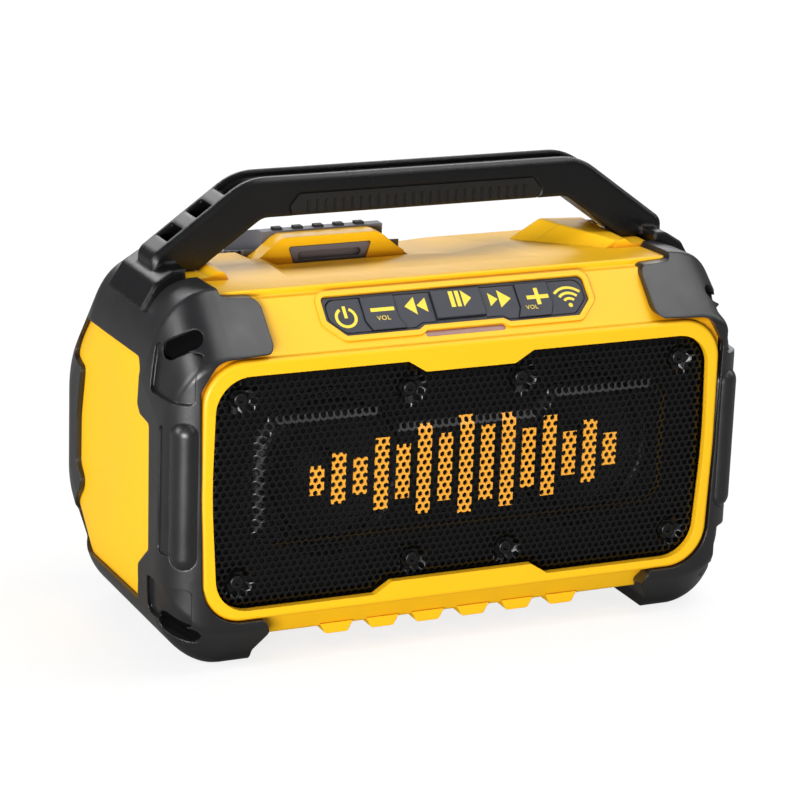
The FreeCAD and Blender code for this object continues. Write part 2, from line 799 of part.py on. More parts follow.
def cap_section(x, front, rear, foot, top):
    slope_back = deck_height + cap_skin - slope_foot - cap_skin * math.sqrt(2) + housing_front
    corners = [(10, 0, 8), (cap_rear - 28, 0, 10), (cap_rear, 34, 16), (cap_rear, rear_shoulder, 22),
               (cap_rear - 29, deck_height - 2.2, 8), (deck_rear + 1, deck_height + 0.2, 8),
               (slope_back, deck_height + cap_skin, 4), (cap_front, slope_foot + 2, 5), (cap_front, 18, 6)]
    depth = cap_rear - cap_front
    height = deck_height + cap_skin
    squeezed = []
    for y, z, r in corners:
        squeezed.append((cap_front + front + (y - cap_front) * (depth - front - rear) / depth,
                         foot + z * (height - foot - top) / height, r))
    return rounded_wire(squeezed, "side", x)


def cap_blank():
    inner, start = cap_stations()[:2]
    straight = Part.Face(cap_section(*inner)).extrude(X * (start[0] - inner[0]))
    sections = [cap_section(*station) for station in cap_stations()[1:]]
    return straight.fuse(Part.makeLoft(sections, True, False))


# Front outline of the cap: a wing over the slope, a clear middle for the bezel, and a foot
def cap_reach():
    w, side, over = cap_wing, housing_half_width + 1, deck_height + 17
    wing = [(cap_edge, over, 0), (cap_edge, deck_height - 1, 3), (w - 3, deck_height - 1.6, 4),
            (w - 3.2, bezel_top + 2, 4), (side - 7, bezel_top + 0.8, 8), (side, bezel_top - 11.2, 6)]
    foot = [(side - 2, bezel_bottom + 15.5, 2), (side - 12, bezel_bottom + 3, 4),
            (w + 8, bezel_bottom + 1, 4), (w - 1, bezel_bottom - 0.5, 3), (w - 3.5, 14, 3), (w + 2, 5, 3)]
    return [(w + 2, 0, 0), (side + 31, 0, 0), (side + 31, over, 0)] + wing + foot


# Hourglass window in the side of the cap, as (y, z, radius)
def window_outline(grow):
    rear, top = cap_rear, deck_height - 28.2
    foot = [(39, 20, 2), (rear - 28, 18.5, 4), (rear - 18, 22, 4), (rear - 9.5, 33, 2), (rear - 21, 45, 4),
            (rear - 23, 50, 4), (rear - 17, 56, 6)]
    head = [(rear - 17.4, top - 46.6, 20), (rear - 22.6, top - 24.1, 3), (rear - 10.4, top - 21.6, 3),
            (rear - 11.4, top - 13.6, 5), (rear - 23, top - 1.6, 4), (41, top, 3), (38, top - 4.6, 2),
            (40, top - 19.6, 2), (36.6, top - 23.1, 2), (26, top - 24.1, 2)]
    return grown(foot + head + [(25, 47, 2), (37, 37, 3), (36.5, 30, 3)], grow)


def side_bar(y, low, high):
    x = cap_half_width - bar_inset
    start, end = V(x, y, low + bar_radius), V(x, y, high - bar_radius)
    ends = [Part.makeSphere(bar_radius, start), Part.makeSphere(bar_radius, end)]
    return rod(bar_radius, start, end).fuse(ends).cut(housing_envelope()).removeSplitter()


def front_bar():
    return side_bar(cap_front + bar_radius + 0.2, bar_low, bar_high)


def rear_bar():
    return side_bar(cap_rear - trough_depth + 2.2 - bar_radius, trough_low + 4, trough_high - 4)


# Shallow trough between the two rear corners, where the rear bar sits
def rear_trough():
    return prism([(cap_rear - trough_depth, trough_low, 1), (cap_rear + 6, trough_low - 10, 0),
                  (cap_rear + 6, trough_high + 10, 0), (cap_rear - trough_depth, trough_high, 1)],
                 "side", cap_wing - 10, cap_half_width + 9)


# Upright block of space across the front corner, between two distances along the corner and two heights
def corner_block(start, stop, low, high):
    outline = [(start, low, 2.5), (stop, low, 2.5), (stop, high, 2.5), (start, high, 2.5)]
    block = prism(outline, "front", -20, 7)
    block.rotate(V(0, 0, 0), Z, corner_turn)
    return block.translated(V(cap_half_width - 5, 11, 0))


# Moulded slot by the end of the front bar, cut square to the corner and down to a skin over the housing
def corner_slot(roll, tilt, place):
    pocket = slot("front", 0, 0, corner_slot_half_length, corner_slot_radius, -18, corner_slot_depth)
    pocket.rotate(V(0, 0, 0), Y, roll)
    pocket.rotate(V(0, 0, 0), X, tilt)
    pocket.rotate(V(0, 0, 0), Z, 35)
    return pocket.translated(place).cut(housing_blank(0.8))


# The two slots, the recess beside each, and the strip beside the bar; the floors follow the cap's form
def corner_cuts():
    upper = corner_slot(24, -20, V(cap_half_width - 9.2, 14.5, bar_high + 28.2))
    lower = corner_slot(-12, 20, V(cap_half_width - 7.4, 7.5, bar_low - 26.7))
    recesses = [corner_block(-11.5, 15.5, bar_high + 6.5, bar_high + 26.5),
                corner_block(-11.5, 15.5, bar_low - 24, bar_low - 7.5)]
    floor = cap_blank().translated(V(-corner_recess_depth, corner_recess_depth, 0))
    strip = corner_block(-2.9, 5.3, bar_low + 6, bar_high - 4)
    strip_floor = cap_blank().translated(V(-corner_strip_depth, corner_strip_depth, 0))
    return [upper, lower, strip.cut(strip_floor)] + [block.cut(floor) for block in recesses]


def right_end_cap():
    blank = cap_blank()
    middle = prism(bezel_outline(0.2), "front", -20, 160)
    deck = box(0, shoulder_end + 0.2, handle_front - 11.2, deck_rear + 19, deck_height - 12.8, 200)
    window = prism(window_outline(0), "side", panel_base, cap_half_width + 19)
    reach = prism(cap_reach(), "front", cap_front, 160)
    cap = blank.common(reach)
    fitted = [rear_trough(), housing_envelope(), handle_blank(), front_bar(), rear_bar()]
    return cap.cut([middle, deck, window] + fitted + corner_cuts())


def right_side_panel():
    inner = cap_blank().translated(X * -panel_recess)
    window = prism(window_outline(-cap_window_clearance), "side", panel_base, cap_half_width + 19)
    return inner.common(window)


# Rear housing with the battery bay and the port recess

def bay_box(grow, top):
    margin = bay_clearance + grow
    left = battery_middle - battery_half_width - margin
    right = battery_middle + battery_half_width + margin
    return box(left, right, battery_front - margin, 160, battery_bottom - margin, top)


def bay_rails(grow):
    edge = battery_half_width + bay_clearance + 1
    inner = battery_half_width - rail_depth - grow
    rails = []
    for side in (-1, 1):
        x0, x1 = sorted((battery_middle + side * inner, battery_middle + side * edge))
        low, high = (rail_low - 60, rail_high + 80) if grow else (rail_low, rail_high)
        rails.append(box(x0, x1, rail_front - grow, rail_front + rail_width + grow, low, high))
    return rails


def port_box(grow, deep):
    return box(port_middle - port_half_width - grow, port_middle + port_half_width + grow,
               housing_rear - port_depth - deep, housing_rear + 5, port_low - grow, port_high + grow)


def hinge_axis():
    return V(port_middle, housing_rear - cover_thickness / 2, port_low + cover_gap + cover_thickness / 2)


def rear_housing():
    blank = housing_blank(0)
    rear = box(-150, 150, split_y, 200, 0, 200)
    bosses = [rod(boss_radius + 1, V(x, split_y, z), V(x, housing_rear, z))
              for x, z in housing_screw_places()]
    walls = [bay_box(bay_wall, 200), port_box(wall, wall)] + bosses
    trim = [shoulder(), mirrored(shoulder()), deck_ramp(), deck_dip(wall).common(blank)]
    shell = housing_shell().fuse([w.common(blank) for w in walls] + trim).common(rear)
    cuts = [bay_box(0, 220), deck_dip(0), port_box(0, 0), jack_hole(0), usb_hole(0)]
    for x, z in housing_screw_places():
        cuts.append(rod(screw_head_radius + 0.5, V(x, split_y + 12, z), V(x, 160, z)))
        cuts.append(rod(screw_radius, V(x, split_y - 1, z), V(x, split_y + 13, z)))
    axis = hinge_axis()
    cuts.append(rod(1.1, axis - X * (port_half_width + 2), axis + X * (port_half_width + 2)))
    cuts.append(slot("front", port_middle, port_high + 1, 9, 3, housing_rear - 3, housing_rear + 2))
    return shell.cut(cuts).fuse(bay_rails(0)).removeSplitter()


def housing_screws():
    return Part.Compound([pan_screw(V(x, split_y + 12, z), Y * -1, 24, screw_head_radius, screw_radius, 2)
                          for x, z in housing_screw_places()])


def jack_hole(grow):
    x, back = port_middle + jack_offset, housing_rear - port_depth
    return rod(4 - grow, V(x, back - 10, socket_height), V(x, back + 2, socket_height))


def usb_hole(grow):
    x, back = port_middle + usb_offset, housing_rear - port_depth
    return box(x - 7.2 + grow, x + 7.2 - grow, back - 10, back + 2,
               socket_height - 3.4 + grow, socket_height + 3.4 - grow)


def aux_jack():
    back = housing_rear - port_depth
    x, z = port_middle + jack_offset, socket_height
    body = box(x - 5.5, x + 5.5, back - 16, back - wall, z - 6, z + 6)
    nose = rod(4, V(x, back - wall, z), V(x, back + 0.8, z))
    return body.fuse(nose).cut(rod(1.8, V(x, back - 13, z), V(x, back + 2, z))).removeSplitter()


def usb_socket():
    back = housing_rear - port_depth
    x, z = port_middle + usb_offset, socket_height
    can = box(x - 7.2, x + 7.2, back - 14, back + 0.6, z - 3.4, z + 3.4)
    mouth = box(x - 6.6, x + 6.6, back - 12, back + 2, z - 2.8, z + 2.8)
    tongue = box(x - 5.6, x + 5.6, back - 12.5, back - 1, z + 0.4, z + 2.2)
    return can.cut(mouth).fuse(tongue).removeSplitter()


def port_cover():
    axis = hinge_axis()
    half = cover_thickness / 2
    w = port_half_width - cover_gap
    plate = box(port_middle - w, port_middle + w, axis.y - half, axis.y + half, axis.z,
                port_high - cover_gap)
    barrel = rod(half, axis - X * w, axis + X * w)
    pins = rod(1, axis - X * (port_half_width + 1.6), axis + X * (port_half_width + 1.6))
    rim = box(port_middle - w + 4, port_middle + w - 4, axis.y - half - 1.6, axis.y - half, axis.z + 5,
              port_high - cover_gap - 3)
    hollow = box(port_middle - w + 6, port_middle + w - 6, axis.y - half - 3, axis.y - half, axis.z + 7,
                 port_high - cover_gap - 5)
    tab = slot("front", port_middle, port_high - 0.6, 7, 2, axis.y - 0.2, axis.y + half)
    return plate.fuse([barrel, pins, rim.cut(hollow), tab]).removeSplitter()


# Battery pack

def battery_case():
    m, w, top = battery_middle, battery_half_width, battery_top
    collar_back = battery_front + collar_depth
    side = [(battery_front, battery_bottom, 1.5), (battery_rear, battery_bottom, 5),
            (battery_rear, top - 22, 10), (battery_rear - 12, top - 7, 8),
            (battery_front + 14.2, top + 1.5, 6), (collar_back, top + 1.5, 0),
            (collar_back, collar_foot(), 0), (battery_front, collar_foot(), 0)]
    case = prism(side, "side", m - w, m + w)
    lower_side = prism([(collar_back, top - 6, 0), (battery_rear + 14, top - 22, 0),
                        (battery_rear + 14, top + 32, 0), (collar_back, top + 32, 0)], "side", 0, 9)
    steps = [lower_side.translated(X * (m - w - 1)), lower_side.translated(X * (m + w - 8))]
    cells_room = box(m - w + 2.5, m + w - 2.5, battery_front + 14.2, battery_rear - 3,
                     battery_bottom + 18, top - 22)
    vents = [box(m - 22 + 9.5 * k, m - 18 + 9.5 * k, collar_back + 8, collar_back + 17, top - 4, top + 17)
             for k in range(5)]
    ribs = [box(m - w - 1, m - w + 1.4, collar_back + 3 + 8 * k, collar_back + 7 + 8 * k,
                top - 30 - 3 * k, top + 2) for k in range(4)]
    socket = [box(m - 17, m + 17, battery_front - 1, battery_front + 15, battery_bottom - 14,
                  battery_bottom + 9)]
    slots = [box(x - 1.2, x + 1.2, blade_front - 1, blade_front + 8, battery_bottom + 6,
                 battery_bottom + 19) for x in blade_places()]
    cuts = steps + [cells_room] + vents + ribs + socket + slots + bay_rails(0.4)
    return case.cut(cuts).removeSplitter()


def blade_places():
    return [battery_middle + (k - 1.5) * 7.5 for k in range(4)]


def collar_foot():
    return battery_top - 13.2


# Arch-shaped collar round the release latch
def battery_collar():
    m = battery_middle
    w, foot = latch_half_width, collar_foot()
    half = [(w + 15.5, foot, 0), (w + 15.5, foot + 4.6, 0.8), (w + 12, foot + 6.8, 3),
            (w + 5, foot + 12.6, 3), (w + 2, foot + 13.9, 2)]
    arch = prism([(x + m, z, r) for x, z, r in both_halves(half)], "front", battery_front,
                 battery_front + collar_depth)
    return arch.cut(latch_window(0.35, battery_front - 1, battery_front + collar_depth + 1))


def latch_window(grow, low, high):
    m = battery_middle
    foot = collar_foot() + 2.3
    w = latch_half_width + grow
    half = [(w - 2.6, foot - grow, 0.8), (w, foot + 7.2 + grow, 1)]
    return prism([(x + m, z, r) for x, z, r in both_halves(half)], "front", low, high)


def battery_latch():
    y = battery_front + 0.8
    body = latch_window(0, y, y + 4.6)
    finger_slot = slot("front", battery_middle, collar_foot() + 5.4, latch_half_width - 4.4, 1.7,
                       y - 1, y + 1.6)
    return body.cut(finger_slot)


def battery_cells():
    cells = []
    for k in range(5):
        y = battery_front + (24.2 if k % 2 == 0 else 43.2)
        z = battery_bottom + 29 + 10 * k
        cells.append(rod(9.2, V(battery_middle - 32.5, y, z), V(battery_middle + 32.5, y, z)))
    return Part.Compound(cells)


def terminal_block():
    low = battery_bottom - bay_clearance
    m = battery_middle
    return box(m - 16, m + 16, battery_front - bay_clearance, blade_front + 9.5, low, low + 7)


def terminal_blades():
    low = battery_bottom - bay_clearance + 7
    return Part.Compound([box(x - 0.5, x + 0.5, blade_front, blade_front + 7, low, low + 10)
                          for x in blade_places()])


# Main board on four stands over the floor

def board_corners():
    return [(x, y) for x in (22, 84) for y in (30, 60)]


def main_board():
    plate = box(16, 90, 25, 65, board_height, board_height + 1.6)
    top = board_height + 1.6
    parts = [box(60, 85, 34, 56, top, top + 12), rod(5, V(30, 38, top), V(30, 38, top + 14)),
             rod(5, V(42, 38, top), V(42, 38, top + 14)), box(47, 57, 40, 52, top, top + 2)]
    fins = [box(62.5 + 5 * k, 65 + 5 * k, 33, 57, top + 5, top + 14) for k in range(4)]
    return plate.fuse(parts).cut(fins).removeSplitter()


def save(shape, name):
    shape = shape.translated(V(0, -depth_middle, 0))
    shape.exportStep("parts/" + name + ".step")
    print(name, len(shape.Solids), round(shape.Volume, 1), shape.isValid())


def main():
    os.makedirs("parts", exist_ok=True)
    save(front_housing(), "front_housing")
    save(rear_housing(), "rear_housing")
    cap, panel = right_end_cap(), right_side_panel()
    for side, turn in (("right", lambda shape: shape), ("left", mirrored)):
        save(turn(cap), side + "_end_cap")
        save(turn(panel), side + "_side_panel")
        save(turn(front_bar()), side + "_front_bumper")
        save(turn(rear_bar()), side + "_rear_bumper")
        x = driver_places()[side]
        save(driver_frame(x), side + "_driver_frame")
        save(driver_magnet(x), side + "_driver_magnet")
        save(driver_surround(x), side + "_driver_surround")
        save(driver_cone(x), side + "_driver_cone")
    save(handle_frame(), "handle_frame")
    save(handle_grip(), "handle_grip")
    save(handle_screws(), "handle_screws")
    save(speaker_grille(), "speaker_grille")
    save(grille_screws(), "grille_screws")
    save(speaker_baffle(), "speaker_baffle")
    save(keypad_base(), "keypad_base")
    for name, left, right, height in keys():
        save(key(left, right, height), name)
    save(switch_board(), "switch_board")
    save(tact_switches(), "tact_switches")
    save(status_light_window(), "status_light_window")
    save(housing_screws(), "housing_screws")
    save(aux_jack(), "aux_jack")
    save(usb_socket(), "usb_socket")
    save(port_cover(), "port_cover")
    save(battery_case(), "battery_case")
    save(battery_collar(), "battery_collar")
    save(battery_latch(), "battery_latch")
    save(battery_cells(), "battery_cells")
    save(terminal_block(), "terminal_block")
    save(terminal_blades(), "terminal_blades")
    save(main_board(), "main_board")


main()
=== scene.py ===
import json
import math

import bpy
from mathutils import Matrix, Vector
from mathutils.bvhtree import BVHTree

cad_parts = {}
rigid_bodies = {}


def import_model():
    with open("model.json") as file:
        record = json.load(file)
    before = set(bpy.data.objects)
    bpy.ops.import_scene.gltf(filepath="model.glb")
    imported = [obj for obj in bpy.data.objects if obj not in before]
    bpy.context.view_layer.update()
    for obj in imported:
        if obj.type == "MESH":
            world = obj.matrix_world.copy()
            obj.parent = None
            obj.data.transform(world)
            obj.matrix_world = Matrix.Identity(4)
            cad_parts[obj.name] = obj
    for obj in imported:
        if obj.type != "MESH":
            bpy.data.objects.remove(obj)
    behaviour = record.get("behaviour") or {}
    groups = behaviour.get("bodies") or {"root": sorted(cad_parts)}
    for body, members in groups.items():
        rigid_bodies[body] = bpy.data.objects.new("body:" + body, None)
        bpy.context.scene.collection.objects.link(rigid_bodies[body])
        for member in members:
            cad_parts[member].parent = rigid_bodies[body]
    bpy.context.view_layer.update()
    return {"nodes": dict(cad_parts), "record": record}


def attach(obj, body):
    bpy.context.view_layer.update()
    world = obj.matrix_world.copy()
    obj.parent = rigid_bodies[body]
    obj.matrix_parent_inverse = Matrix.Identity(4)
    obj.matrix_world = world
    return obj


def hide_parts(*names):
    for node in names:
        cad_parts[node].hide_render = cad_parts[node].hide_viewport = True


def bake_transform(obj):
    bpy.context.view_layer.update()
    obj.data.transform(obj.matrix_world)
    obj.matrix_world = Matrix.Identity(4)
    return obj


for leftover in list(bpy.data.objects):  # whatever the start-up file brought along
    bpy.data.objects.remove(leftover)

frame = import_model()
mm = 0.001
print("frame loaded:", len(frame["nodes"]), "nodes")


# Small helpers

def toLinear(hexColour):  # sRGB hex, such as "#FFC20E", to the linear RGBA that a socket takes
    parts = [int(hexColour[i:i + 2], 16) / 255 for i in (1, 3, 5)]
    return [p / 12.92 if p <= 0.04045 else ((p + 0.055) / 1.055) ** 2.4 for p in parts] + [1.0]


def newMaterial(name):
    material = bpy.data.materials.new(name)
    material.use_nodes = True
    material.node_tree.nodes.clear()
    return material


def addNode(material, kind, sockets=None, **settings):  # a socket gets a value, or a link from another node
    node = material.node_tree.nodes.new(kind)
    for name, value in settings.items():
        setattr(node, name, value)
    for name, value in (sockets or {}).items():
        if isinstance(value, bpy.types.NodeSocket):
            material.node_tree.links.new(value, node.inputs[name])
        else:
            node.inputs[name].default_value = value
    return node


def finishMaterial(material, sockets):  # the surface with what feeds it, and the output
    skin = addNode(material, "ShaderNodeBsdfPrincipled", sockets)
    addNode(material, "ShaderNodeOutputMaterial", {"Surface": skin.outputs["BSDF"]})
    return material


def addObject(name, data):
    thing = bpy.data.objects.new(name, data)
    bpy.context.scene.collection.objects.link(thing)
    return thing


def addPiece(name, vertices, faces, material, body):
    mesh = bpy.data.meshes.new(name)
    mesh.from_pydata(vertices, [], faces)
    mesh.update()
    mesh.materials.append(material)
    piece = addObject(name, mesh)
    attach(piece, body)
    return piece


def wallFaces(here, after, count):  # the faces between two rings of points, given each ring's first number
    return [(here + k, here + (k + 1) % count, after + (k + 1) % count, after + k) for k in range(count)]


def bodyOf(node):
    return next(body for body, members in frame["record"]["behaviour"]["bodies"].items() if node in members)


# Moulded plastics and rubbers

# Painted shade: two tints of one colour, which sink to a darker colour in corners and gaps, within the given
# reach
def tintWithPaintedShade(material, share, look):
    tint = addNode(material, "ShaderNodeMixRGB", {
        "Fac": share, "Color1": toLinear(look["deep"]), "Color2": toLinear(look["colour"])})
    # Painted shade: ambient occlusion finds corners and gaps, and the colour there is painted darker
    nearby = addNode(material, "ShaderNodeAmbientOcclusion", {"Distance": look["paintedShadeReach"]}, samples=8)
    exposed = addNode(material, "ShaderNodeMapRange", {
        "Value": nearby.outputs["AO"], "From Min": 0.25, "From Max": 0.8})
    shadedColour = addNode(material, "ShaderNodeMixRGB", {
        "Fac": exposed.outputs["Result"], "Color1": toLinear(look["paintedShade"]),
        "Color2": tint.outputs["Color"]})
    return shadedColour.outputs["Color"]


# What every moulded skin has: slow changes in tint and gloss, painted shade in its corners and gaps, rounded
# edges and a fine relief
def mouldedSkin(material, look, cloud, relief, sockets, glossSpread):
    gloss = addNode(material, "ShaderNodeMapRange", {
        "Value": cloud, "From Min": 0.3, "From Max": 0.7,
        "To Min": look["roughness"] - glossSpread, "To Max": look["roughness"] + glossSpread})
    edge = addNode(material, "ShaderNodeBevel", {"Radius": look["edgeRadius"]}, samples=4)
    bump = addNode(material, "ShaderNodeBump", {"Normal": edge.outputs["Normal"], **relief})
    return finishMaterial(material, {
        "Base Color": tintWithPaintedShade(material, cloud, look), "Roughness": gloss.outputs["Result"],
        "Normal": bump.outputs["Normal"], "Specular IOR Level": look["shine"], **sockets})


# Glass-filled nylon from a spark-eroded mould: a satin skin, a fine even grain and slow changes in gloss.
# The real grain is about 0.15 mm, which is finer than a pixel, so it is drawn at the size given.
def mouldedNylon(name, look):
    material = newMaterial(name)
    place = addNode(material, "ShaderNodeTexCoord").outputs["Object"]
    flow = addNode(material, "ShaderNodeTexNoise", {
        "Vector": place, "Scale": 1 / look["flowSize"], "Detail": 3}).outputs["Fac"]
    grain = addNode(material, "ShaderNodeTexNoise", {
        "Vector": place, "Scale": 1 / look["grainSize"], "Detail": 2}).outputs["Fac"]
    relief = {"Height": grain, "Strength": look["grainStrength"], "Distance": look["grainDepth"]}
    return mouldedSkin(material, look, flow, relief, {"IOR": 1.53}, glossSpread=0.05)


# In each look below, the darkest colour and its reach are painted shade for corners and gaps
amberNylon = mouldedNylon("amber_moulded_nylon", {
    "colour": "#FFC61A", "deep": "#FFBF14", "paintedShade": "#D98A00", "paintedShadeReach": 6 * mm,
    "flowSize": 60 * mm, "grainSize": 0.8 * mm, "grainDepth": 0.05 * mm, "grainStrength": 0.25,
    "roughness": 0.4, "edgeRadius": 0.5 * mm, "shine": 0.35})

blackNylon = mouldedNylon("black_moulded_nylon", {
    "colour": "#0A0A0B", "deep": "#070708", "paintedShade": "#030303", "paintedShadeReach": 8 * mm,
    "flowSize": 45 * mm, "grainSize": 0.8 * mm, "grainDepth": 0.06 * mm, "grainStrength": 0.3,
    "roughness": 0.28, "edgeRadius": 2.6 * mm, "shine": 0.5})

greyNylon = mouldedNylon("grey_moulded_nylon", {
    "colour": "#6E6E76", "deep": "#64646C", "paintedShade": "#2A2A2E", "paintedShadeReach": 5 * mm,
    "flowSize": 40 * mm, "grainSize": 0.8 * mm, "grainDepth": 0.05 * mm, "grainStrength": 0.3,
    "roughness": 0.5, "edgeRadius": 0.4 * mm, "shine": 0.5})

latchNylon = mouldedNylon("warm_grey_latch_nylon", {
    "colour": "#76727A", "deep": "#6C6870", "paintedShade": "#0A0A0B", "paintedShadeReach": 3 * mm,
    "flowSize": 30 * mm, "grainSize": 0.8 * mm, "grainDepth": 0.05 * mm, "grainStrength": 0.3,
    "roughness": 0.4, "edgeRadius": 0.4 * mm, "shine": 0.5})

innerNylon = mouldedNylon("plain_inner_nylon", {
    "colour": "#1A1A1B", "deep": "#151516", "paintedShade": "#060606", "paintedShadeReach": 5 * mm,
    "flowSize": 40 * mm, "grainSize": 0.9 * mm, "grainDepth": 0.04 * mm, "grainStrength": 0.2,
    "roughness": 0.6, "edgeRadius": 0.3 * mm, "shine": 0.3})


# Thermoplastic elastomer moulded over the housing: near black in its hollows, which is painted shade, with a
# broad soft shine on every round edge, and a skin that is a little cloudy from the mould
def overmouldedRubber(name, look):
    cloudSize, stippleDepth = 18 * mm, 0.06 * mm
    material = newMaterial(name)
    place = addNode(material, "ShaderNodeTexCoord").outputs["Object"]
    cloud = addNode(material, "ShaderNodeTexNoise", {
        "Vector": place, "Scale": 1 / cloudSize, "Detail": 4}).outputs["Fac"]
    stipple = addNode(material, "ShaderNodeTexVoronoi", {
        "Vector": place, "Scale": 1 / look["stippleSize"]}).outputs["Distance"]
    relief = {"Height": stipple, "Strength": look["stippleStrength"], "Distance": stippleDepth}
    return mouldedSkin(material, look, cloud, relief, {
        "IOR": 1.5, "Sheen Weight": look["sheen"], "Sheen Roughness": 0.5}, glossSpread=0.06)


# In each look below, the darkest colour and its reach are painted shade for corners and gaps
capRubber = overmouldedRubber("charcoal_overmoulded_elastomer", {
    "colour": "#171719", "deep": "#121214", "paintedShade": "#020202", "paintedShadeReach": 9 * mm,
    "stippleSize": 0.9 * mm, "stippleStrength": 0.2,
    "roughness": 0.36, "edgeRadius": 0.9 * mm, "sheen": 0.03, "shine": 0.7})

gripRubber = overmouldedRubber("stippled_grip_elastomer", {
    "colour": "#0F0F10", "deep": "#0A0A0B", "paintedShade": "#030303", "paintedShadeReach": 3 * mm,
    "stippleSize": 1.5 * mm, "stippleStrength": 0.9,
    "roughness": 0.62, "edgeRadius": 0.3 * mm, "sheen": 0.02, "shine": 0.4})

keypadRubber = overmouldedRubber("slate_silicone_keypad", {
    "colour": "#33353E", "deep": "#2D2F38", "paintedShade": "#0A0A0C", "paintedShadeReach": 2.5 * mm,
    "stippleSize": 0.8 * mm, "stippleStrength": 0.15,
    "roughness": 0.5, "edgeRadius": 0.5 * mm, "sheen": 0.04, "shine": 0.5})

surroundRubber = overmouldedRubber("butyl_rubber_surround", {
    "colour": "#1B1B1C", "deep": "#161617", "paintedShade": "#060606", "paintedShadeReach": 3 * mm,
    "stippleSize": 1.0 * mm, "stippleStrength": 0.1,
    "roughness": 0.45, "edgeRadius": 0.3 * mm, "sheen": 0.0, "shine": 0.5})

print("plastics and rubbers made")


# Metals and small parts

# A surface with one pattern, which shifts its colour, and its gloss and relief where the look gives them
def patternedSurface(name, look, sockets):
    material = newMaterial(name)
    place = addNode(material, "ShaderNodeTexCoord").outputs["Object"]
    pattern = addNode(material, "ShaderNodeTexNoise", {
        "Vector": place, "Scale": 1 / look["patternSize"], "Detail": look["detail"]}).outputs["Fac"]
    tint = addNode(material, "ShaderNodeMixRGB", {
        "Fac": pattern, "Color1": toLinear(look["deep"]), "Color2": toLinear(look["colour"])})
    fed = {"Base Color": tint.outputs["Color"], **sockets}
    if "glossSpread" in look:
        gloss = addNode(material, "ShaderNodeMapRange", {
            "Value": pattern, "To Min": sockets["Roughness"] - look["glossSpread"],
            "To Max": sockets["Roughness"] + look["glossSpread"]})
        fed["Roughness"] = gloss.outputs["Result"]
    if "reliefDepth" in look:
        bump = addNode(material, "ShaderNodeBump", {
            "Height": pattern, "Strength": look["reliefStrength"], "Distance": look["reliefDepth"]})
        fed["Normal"] = bump.outputs["Normal"]
    return finishMaterial(material, fed)


# Steel and small parts under a thin finish: even colour with a light orange peel where the coat flowed
def coatedSteel(name, look):
    peel = {"detail": 2, "glossSpread": 0.08, "reliefStrength": 0.2, "reliefDepth": 0.04 * mm}
    return patternedSurface(name, {**peel, **look}, {
        "Metallic": look["metallic"], "Roughness": look["roughness"]})


blackScrewSteel = coatedSteel("blackened_screw_steel", {
    "colour": "#3A3A3C", "deep": "#2E2E30", "metallic": 0.9, "roughness": 0.38, "patternSize": 0.8 * mm})
basketSteel = coatedSteel("black_enamelled_basket_steel", {
    "colour": "#1D1D1E", "deep": "#171718", "metallic": 0.0, "roughness": 0.4, "patternSize": 1.5 * mm})
socketSteel = coatedSteel("nickel_plated_socket_steel", {
    "colour": "#C9C9C6", "deep": "#B9B9B6", "metallic": 1.0, "roughness": 0.28, "patternSize": 1.0 * mm})
ferrite = coatedSteel("sintered_ferrite", {
    "colour": "#3F3F41", "deep": "#343436", "metallic": 0.2, "roughness": 0.7, "patternSize": 1.2 * mm})
bladeBrass = coatedSteel("tinned_brass_blade", {
    "colour": "#D6B76A", "deep": "#C2A254", "metallic": 1.0, "roughness": 0.3, "patternSize": 1.0 * mm})
cellSleeve = coatedSteel("shrink_sleeved_cell", {
    "colour": "#2F6E86", "deep": "#285F74", "metallic": 0.0, "roughness": 0.35, "patternSize": 6 * mm})
boardLacquer = coatedSteel("green_solder_mask", {
    "colour": "#1F5A34", "deep": "#184A2A", "metallic": 0.0, "roughness": 0.3, "patternSize": 5 * mm})

# Pressed paper cone with a rubbed-in black coating: matt, with the fibres standing out a little
conePaper = patternedSurface("coated_paper_cone", {
    "patternSize": 1.2 * mm, "detail": 5, "colour": "#1E1E20", "deep": "#121213",
    "reliefStrength": 0.5, "reliefDepth": 0.1 * mm}, {"Roughness": 0.8})

# Smoked polycarbonate light pipe: brown when unlit, smooth face, a little depth from the coat
smokedLens = patternedSurface("smoked_polycarbonate_lens", {
    "patternSize": 4 * mm, "detail": 2, "colour": "#94604F", "deep": "#7A4A40"}, {
    "Roughness": 0.35, "IOR": 1.585, "Coat Weight": 0.6, "Coat Roughness": 0.08})

# Two-part ink, pad printed on the silicone: opaque, slightly uneven where the pad let go
printedInk = patternedSurface("pad_printed_yellow_ink", {
    "patternSize": 1.5 * mm, "detail": 3, "colour": "#FFE24A", "deep": "#F2D22E"}, {"Roughness": 0.5})

# Painted shade: a near-black, fully matt fill that stands in for the shade deep inside the slots
slotShadeFill = patternedSurface("slot_painted_shade", {
    "patternSize": 0.6 * mm, "detail": 2, "colour": "#070707", "deep": "#010101"}, {
    "Roughness": 1.0, "Specular IOR Level": 0.1})

print("metals and small parts made")


# Finishes on the carried-over parts

